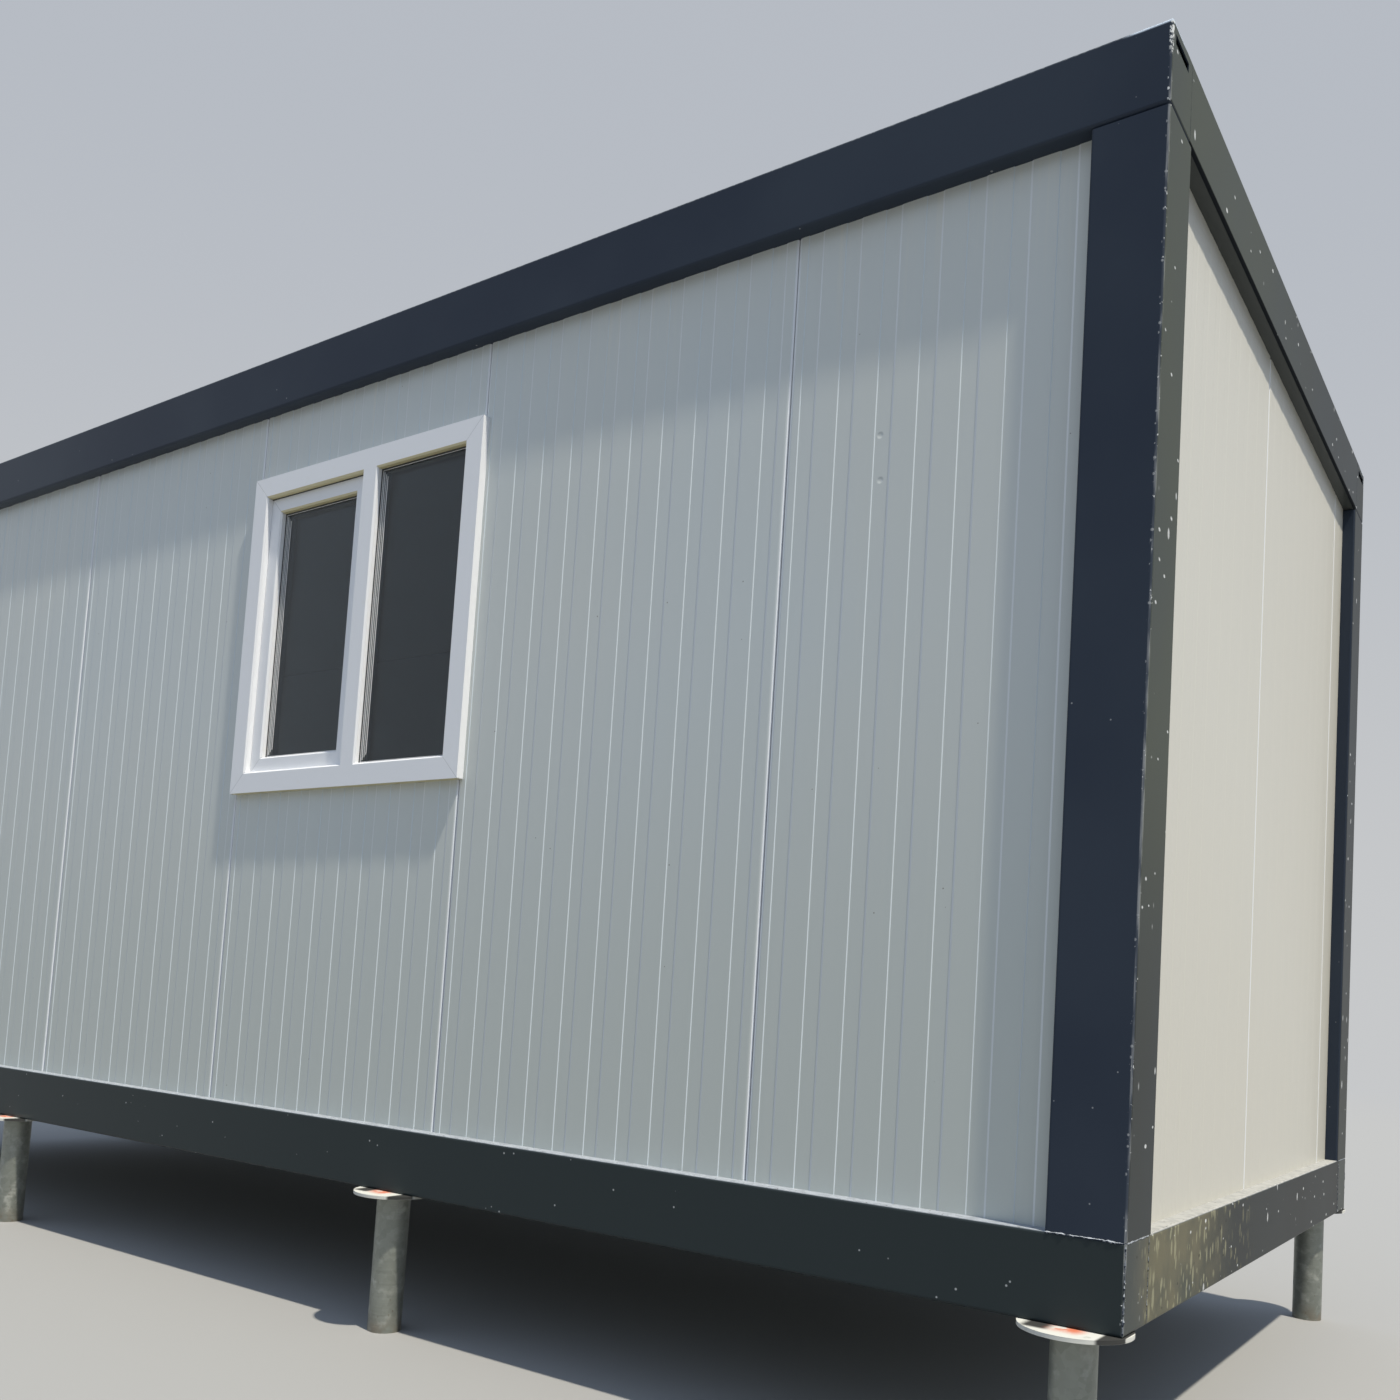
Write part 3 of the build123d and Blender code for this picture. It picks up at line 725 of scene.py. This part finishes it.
# material with a painted highlight for the rolled edges at the joints
joint_highlight_material = panel_skin("panel_edge_painted_highlight", edge=True)
rubber_material = rubber()
weld_material = weld_metal()

for row in frame["record"]["subparts"]:
    slots = nodes[row["node"]].data.materials
    slots.clear()
    slots.append(materials[row["material_slot"]])


def on_circle(count, shift=0.0):
    """Angles that divide a circle evenly."""
    return [2 * math.pi * (i + shift) / count for i in range(count)]


class Shape:
    """Collects the closed bodies of one piece."""

    def __init__(self):
        self.vertices = []
        self.faces = []

    def rings(self, rings):
        """Add a body that runs through these rings of points, closed at both ends."""
        first = len(self.vertices)
        count = len(rings[0])
        top = first + (len(rings) - 1) * count
        for ring in rings:
            self.vertices += ring
        for start in range(first, top, count):
            for i in range(count):
                a, b = start + i, start + (i + 1) % count
                self.faces.append((a, b, b + count, a + count))
        self.faces.append(tuple(range(first + count - 1, first - 1, -1)))
        self.faces.append(tuple(range(top, top + count)))

    def bead(self, start, end, radius, wander):
        """Add an irregular bead from start to end, whose thickness and line wander."""
        start, end = Vector(start), Vector(end)
        along = (end - start).normalized()
        across = along.orthogonal().normalized()
        other = along.cross(across)
        count = max(2, round((end - start).length / bead_pitch))
        rings = []
        for i in range(count + 1):
            at_end = i in (0, count)
            swell = radius * (bead_end_share if at_end else 1 + chance.uniform(-wander, wander))
            middle = start.lerp(end, i / count)
            drift = across * chance.uniform(-1, 1) + other * chance.uniform(-1, 1)
            middle += drift * radius * bead_drift
            rings.append([middle + (across * math.cos(turn) + other * math.sin(turn)) * swell
                          for turn in on_circle(bead_sides)])
        self.rings(rings)

    def turned(self, profile, place, sides):
        """Add a turned body; place puts each point of the profile in the frame."""
        self.rings([[place(radius * math.cos(turn), radius * math.sin(turn), height)
                     for turn in on_circle(sides, 0.5)] for radius, height in profile])

    def pile_bead(self, x, y, z):
        """Add the uneven weld round the top of one pile's tube."""
        first = len(self.vertices)
        for turn in on_circle(pile_weld_steps):
            swell = pile_weld * (1 + chance.uniform(-pile_weld_wander, pile_weld_wander))
            for roll in on_circle(bead_sides):
                out = pile_radius + swell * math.cos(roll)
                self.vertices.append((x + out * math.cos(turn), y + out * math.sin(turn),
                                      z + swell * math.sin(roll)))
        for i in range(pile_weld_steps):
            a = first + i * bead_sides
            b = first + (i + 1) % pile_weld_steps * bead_sides
            for j in range(bead_sides):
                k = (j + 1) % bead_sides
                self.faces.append((a + j, b + j, b + k, a + k))

    def border(self, x0, x1, z0, z1, width, y0, y1):
        """Add a rectangular border, width wide inwards from the given rectangle."""
        first = len(self.vertices)
        for y in (y0, y1):
            for inset in (0, width):
                self.vertices += [(x0 + inset, y, z0 + inset), (x1 - inset, y, z0 + inset),
                                  (x1 - inset, y, z1 - inset), (x0 + inset, y, z1 - inset)]
        for i in range(4):
            j = (i + 1) % 4
            for a, b in ((0, 4), (4, 12), (12, 8), (8, 0)):
                self.faces.append((first + a + i, first + a + j, first + b + j, first + b + i))

    def piece(self, name, material, slot=None):
        """Make the piece, with its faces turned outwards and its big polygons cut up."""
        data = bpy.data.meshes.new(name)
        data.from_pydata(self.vertices, [], self.faces)
        data.validate()
        data.update()
        data.materials.append(material)
        piece = bpy.data.objects.new(name, data)
        bpy.context.scene.collection.objects.link(piece)
        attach(piece, "root")
        mesh = bmesh.new()
        mesh.from_mesh(data)
        bmesh.ops.triangulate(mesh, faces=[f for f in mesh.faces if len(f.verts) > 4])
        bmesh.ops.recalc_face_normals(mesh, faces=mesh.faces)
        mesh.to_mesh(data)
        mesh.free()
        return piece


# Walls: u runs to the right as seen from outside, v goes inwards from the frame's face
def front_wall(u, v, z):
    return (u, v - half_width, z)


def rear_wall(u, v, z):
    return (-u, half_width - v, z)


def left_wall(u, v, z):
    return (v - half_length, -u, z)


def right_wall(u, v, z):
    """The end walls mirror each other, so here u runs to the left."""
    return (half_length - v, -u, z)


def wall_across(wall, place):
    """The place of a point along its wall, that is its u."""
    return {front_wall: place.x, rear_wall: -place.x}.get(wall, -place.y)


Bay = namedtuple("Bay", "left right joint grooved tongued")


def wall_bays(run, left_panel):
    """Bays from left to right, as the panels are cut; ribs are counted from the joint."""
    edge = run / 2 - post_width
    joints = [left_panel - edge]
    while joints[-1] + cover_width < edge:
        joints.append(joints[-1] + cover_width)
    half_gap = joint_gap / 2
    bays = [Bay(fit_gap - edge, joints[0] - half_gap, joints[0] - cover_width, False, True)]
    for joint, following in zip(joints, joints[1:]):
        bays.append(Bay(joint + half_gap, following - half_gap, joint, True, True))
    bays.append(Bay(joints[-1] + half_gap, edge - fit_gap, joints[-1], True, False))
    return bays


def joint_lips(wall, bay):
    """Profiles of the left and right edge; the joints left of the window stand more open."""
    left_open, right_open = (wall is front_wall and u < open_joints_end
                             for u in (bay.left, bay.right))
    left_lip = (open_groove_lip if left_open else groove_lip) if bay.grooved else plain_lip
    right_lip = (open_tongue_lip if right_open else tongue_lip) if bay.tongued else plain_lip
    return left_lip, right_lip


def panel_outline(bay, lips, depth, slope):
    """Section of one panel: ribs and rolled edges outside, tongue and groove at the sides."""
    u0, u1 = bay.left, bay.right
    middle = panel_thickness / 2
    half = tongue_width / 2
    outline = [(u0 + inset, fall) for inset, fall in reversed(lips[0])]
    rib = bay.joint + rib_offset
    while rib + rib_width < u1 - rib_slope:
        if rib > u0 + rib_slope:
            outline += [(rib, 0), (rib + slope, depth),
                        (rib + rib_width - rib_slope, depth), (rib + rib_width, 0)]
        rib += rib_pitch
    outline += [(u1 - inset, fall) for inset, fall in lips[1]]
    if bay.tongued:
        tip = u1 + tongue_length
        outline += [(u1, middle - half), (tip, middle - half + tongue_taper),
                    (tip, middle + half - tongue_taper), (u1, middle + half)]
    outline += [(u1, panel_thickness), (u0, panel_thickness)]
    if bay.grooved:
        deep = u0 + tongue_length
        wide = half + fit_gap
        outline += [(u0, middle + wide), (deep, middle + wide - tongue_taper),
                    (deep, middle - wide + tongue_taper), (u0, middle - wide)]
    return outline


def on_tongue_edge(bay, across):
    """Whether a face lies on the rolled edge over the bay's tongue, from its points' u."""
    return (bay.tongued and bay.right - edge_width <= min(across)
            and max(across) <= bay.right + edge_slack)


def panel_piece(node, wall, bays):
    low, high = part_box(node)
    on_end = wall in (left_wall, right_wall)
    rib = (end_rib_depth, rib_slope) if on_end else (rib_depth, rib_sharp_slope)
    shape = Shape()
    for bay in bays:
        outline = panel_outline(bay, joint_lips(wall, bay), *rib)
        shape.rings([[wall(u, panel_recess + v, z) for u, v in outline]
                     for z in (low.z, high.z)])
    piece = shape.piece("skin_" + node, materials["panel_skin"], "panel_skin")
    piece.data.materials.append(joint_highlight_material)
    points = piece.data.vertices
    for face in piece.data.polygons:
        across = [round(wall_across(wall, points[i].co), 5) for i in face.vertices]
        # faces on the rolled edge over the tongue take the painted highlight material
        if any(on_tongue_edge(bay, across) for bay in bays):
            face.material_index = 1
    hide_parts(node)


front_bays = wall_bays(2 * half_length, door_bay_width)
front_nodes = [["door_panel_upper"], ["front_panel_5"], ["front_panel_4"],
               ["window_panel_lower", "window_panel_upper"], ["front_panel_2"], ["front_panel_1"]]
for bay, names in zip(front_bays, front_nodes):
    for node in names:
        panel_piece(node, front_wall, [bay])
panel_piece("rear_panels", rear_wall, front_bays)
for number, bay in enumerate(wall_bays(2 * half_width, end_narrow_panel), 1):
    panel_piece(f"left_panel_{number}", left_wall, [bay])
    panel_piece(f"right_panel_{number}", right_wall, [bay])


# Seams of the frame: welds as irregular beads half sunk in the corners, and filled seams
chance = random.Random(7)


def corner_seams(corner, side_x, side_y):
    """Seams of one corner: the post's foot, and the welded edges of the corner boxes."""
    def point(from_end, from_side, z):
        return (side_x * (half_length - from_end), side_y * (half_width - from_side), z)

    foot_z = base_top - foot_weld_sunk
    welds = Shape()
    welds.bead(point(post_width, foot_weld_sunk, foot_z),
               point(seam_stop, foot_weld_sunk, foot_z), *foot_weld)
    welds.bead(point(foot_weld_sunk, corner_return, foot_z),
               point(foot_weld_sunk, seam_stop, foot_z), *end_foot_weld)
    welds.bead(point(corner_weld_sunk, corner_weld_sunk, base_bottom + seam_stop),
               point(corner_weld_sunk, corner_weld_sunk, base_top - corner_weld_stop),
               *corner_weld)
    welds.bead(point(0, corner_return, base_bottom + seam_stop),
               point(0, corner_return, base_top - seam_stop), *box_weld)
    welds.piece("weld_seams_" + corner, weld_material, "frame_paint")
    filled = Shape()
    filled.bead(point(filled_seam_sunk, corner_return, roof_bottom + seam_stop),
                point(filled_seam_sunk, corner_return, roof_top - seam_stop), *filled_seam)
    filled.piece("filled_seam_" + corner, materials["frame_paint"], "frame_paint")


for side_y, row in ((-1, "front"), (1, "rear")):
    for side_x, hand in ((1, "right"), (-1, "left")):
        corner_seams(f"{row}_{hand}", side_x, side_y)


def pile_welds():
    shape = Shape()
    for row in ("front", "rear"):
        for number in pile_numbers:
            low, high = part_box(f"pile_{row}_{number}")
            shape.pile_bead((low.x + high.x) / 2, (low.y + high.y) / 2,
                            high.z - pile_flange - pile_weld_sunk)
    shape.piece("pile_welds", materials["galvanised_steel"], "galvanised_steel")


def roof_screws():
    """Hexagon screws with washers on the ribs of the roof panels."""
    low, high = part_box("roof_panels")
    pitch = (high.x - low.x) / roof_ribs
    shape = Shape()
    for rib in range(roof_ribs):
        for y in roof_screw_rows:
            middle = Vector((low.x + (rib + 0.5) * pitch, y, high.z))
            for profile, sides in ((washer, washer_sides), (screw_head, screw_head_sides)):
                shape.turned(profile, lambda a, b, h: middle + Vector((a, b, h)), sides)
    shape.piece("roof_screws", materials["galvanised_steel"], "galvanised_steel")


pile_welds()
roof_screws()


# Rubber seals of the window, and pale lines painted on its glass
def glazing_painted_lines(*lights):
    """Thin pale lines round the edge of each light, inside its dark seal, laid on the glass as a
    painted reflection of the spacer bar seen through it.
    """
    shape = Shape()
    for x0, x1, z0, z1, y in lights:
        shape.border(x0 + seal_width, x1 - seal_width, z0 + seal_width, z1 - seal_width,
                    painted_line_edge_width, y - painted_line_height, y)
        # painted reflection lines of the spacer bar, on the glass
        for inset, width in painted_spacer_lines:
            left = x0 + inset
            shape.border(left, left + width, z0 + inset, z1 - inset, width / painted_line_bands,
                        y - painted_line_height, y)
    shape.piece("painted_spacer_lines", materials["spacer_bar"], "spacer_bar")


def window_seals():
    """Seals round both lights, and the one between frame and sash at the head, which is also a
    dark painted shade of the gap there.
    """
    sash_low, sash_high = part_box("window_sash")
    mullion_x = window_low.x + mullion_from_left
    head_z = window_high.z - window_face
    fixed_light = (mullion_x + window_face, window_high.x - window_face,
                   window_low.z + window_face, head_z, window_low.y + window_lip)
    sash_light = (sash_low.x + sash_edge, sash_high.x - sash_edge,
                  sash_low.z + sash_edge, sash_high.z - sash_edge, sash_low.y + window_lip)
    glazing_painted_lines(fixed_light, sash_light)
    shape = Shape()
    for x0, x1, z0, z1, y in (fixed_light, sash_light):
        shape.border(x0 - seal_tuck, x1 + seal_tuck, z0 - seal_tuck, z1 + seal_tuck, seal_width,
                    y - seal_height, y)
    # head seal: a dark strip, partly painted shade of the gap between frame and sash
    left = window_low.x + window_face
    shape.rings([[(left, y, head_z - head_seal_drop), (mullion_x, y, head_z - head_seal_drop),
                  (mullion_x, y, head_z + seal_tuck), (left, y, head_z + seal_tuck)]
                 for y in (sash_low.y - seal_height, sash_low.y)])
    shape.piece("window_seals", rubber_material)


def door_fittings():
    """Seal round the leaf, drip rail, lock barrel and screws of the handle's plate."""
    low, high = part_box("door_frame")
    leaf_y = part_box("door_leaf")[0].y
    x0, x1 = low.x + door_face, high.x - door_face
    z0, z1 = low.z + door_face, high.z - door_face
    seal = Shape()
    seal.border(x0 - seal_tuck, x1 + seal_tuck, z0 - seal_tuck, z1 + seal_tuck, seal_width,
               leaf_y - seal_height, leaf_y)
    seal.piece("door_seal", rubber_material)

    rail = Shape()
    rail.rings([[(x, leaf_y + out, z0 + drip_rail_foot_gap + up) for out, up in drip_rail]
                for x in (x0 + drip_rail_side_gap, x1 - drip_rail_side_gap)])
    rail.piece("door_drip_rail", materials["window_plastic"], "window_plastic")

    plate_low, plate_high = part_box("door_handle")
    middle_x = plate_high.x - handle_plate_half
    plate_y = leaf_y - handle_plate
    lock = Shape()
    for profile, z in ((lock_barrel, plate_high.z - lock_below_top),
                       (plate_screw, plate_high.z - plate_screw_inset),
                       (plate_screw, plate_low.z + plate_screw_inset)):
        lock.turned(profile, lambda a, b, h: (middle_x + a, plate_y - h, z + b), lock_sides)
    lock.piece("door_lock", materials["handle_metal"], "handle_metal")


window_seals()
door_fittings()


# Camera
def camera_axes():
    azimuth, elevation, roll = camera_azimuth, camera_elevation, camera_roll
    forward = Vector((-math.sin(azimuth) * math.cos(elevation),
                      math.cos(azimuth) * math.cos(elevation), math.sin(elevation)))
    level = Vector((math.cos(azimuth), math.sin(azimuth), 0))
    above = level.cross(forward)
    right = math.cos(roll) * level + math.sin(roll) * above
    up = math.cos(roll) * above - math.sin(roll) * level
    return right, up, -forward


def make_camera():
    data = bpy.data.cameras.new("camera")
    camera = bpy.data.objects.new("camera", data)
    bpy.context.scene.collection.objects.link(camera)
    turn = Matrix(camera_axes()).transposed().to_4x4()
    camera.matrix_world = Matrix.Translation(camera_place) @ turn
    data.sensor_width = sensor_width
    data.lens = sensor_width * focal_pixels / photo_size
    data.shift_x = (photo_size / 2 - principal_x) / photo_size
    data.shift_y = (principal_y - photo_size / 2) / photo_size
    data.clip_start = clip_start
    data.clip_end = clip_end
    bpy.context.scene.camera = camera


# Floor, surroundings and light
def floor_material():
    """A plain floor that fades into the backdrop far away."""
    s = Shader("studio_floor", Roughness=0.9)
    s.finish(s.mix(s.seen_ray(), floor_lit, floor_shown))
    away = s.node("ShaderNodeVectorMath", operation="LENGTH")
    s.feed(away.inputs[0], s.place)
    glow = s.node("ShaderNodeEmission")
    glow.inputs["Color"].default_value = backdrop_low
    mixed = s.node("ShaderNodeMixShader")
    s.feed(mixed.inputs[0], s.step(away.outputs["Value"], *floor_fade))
    s.feed(mixed.inputs[1], s.surface.outputs[0])
    s.feed(mixed.inputs[2], glow.outputs[0])
    s.feed(s.output.inputs[0], mixed.outputs[0])
    return s.material


def make_floor():
    rim = [(floor_radius * math.cos(turn), floor_radius * math.sin(turn), 0)
           for turn in on_circle(floor_sides)]
    mesh = bpy.data.meshes.new("studio_floor")
    mesh.from_pydata(rim, [], [tuple(range(floor_sides))])
    mesh.materials.append(floor_material())
    floor = bpy.data.objects.new("studio_floor", mesh)
    bpy.context.scene.collection.objects.link(floor)


def make_world():
    world = bpy.data.worlds.new("studio")
    bpy.context.scene.world = world
    s = Nodes(world, "Generated")
    light = s.mix(s.step(s.z, 0.02, 0.55), horizon, zenith)
    shown = s.mix(s.step(s.z, 0.0, 0.6), backdrop_low, backdrop_high)
    background = s.node("ShaderNodeBackground")
    s.feed(background.inputs["Color"], s.mix(s.seen_ray(), light, shown))
    output = s.node("ShaderNodeOutputWorld")
    s.feed(output.inputs[0], background.outputs[0])


def make_key_light():
    data = bpy.data.lights.new("key_light", "SUN")
    data.energy = sun_strength
    data.angle = sun_angle
    data.color = sun_tone
    key = bpy.data.objects.new("key_light", data)
    bpy.context.scene.collection.objects.link(key)
    key.rotation_mode = "QUATERNION"
    key.rotation_quaternion = towards_sun.to_track_quat("Z", "Y")


make_camera()
make_floor()
make_world()
make_key_light()
bpy.context.scene.view_settings.view_transform = "Standard"
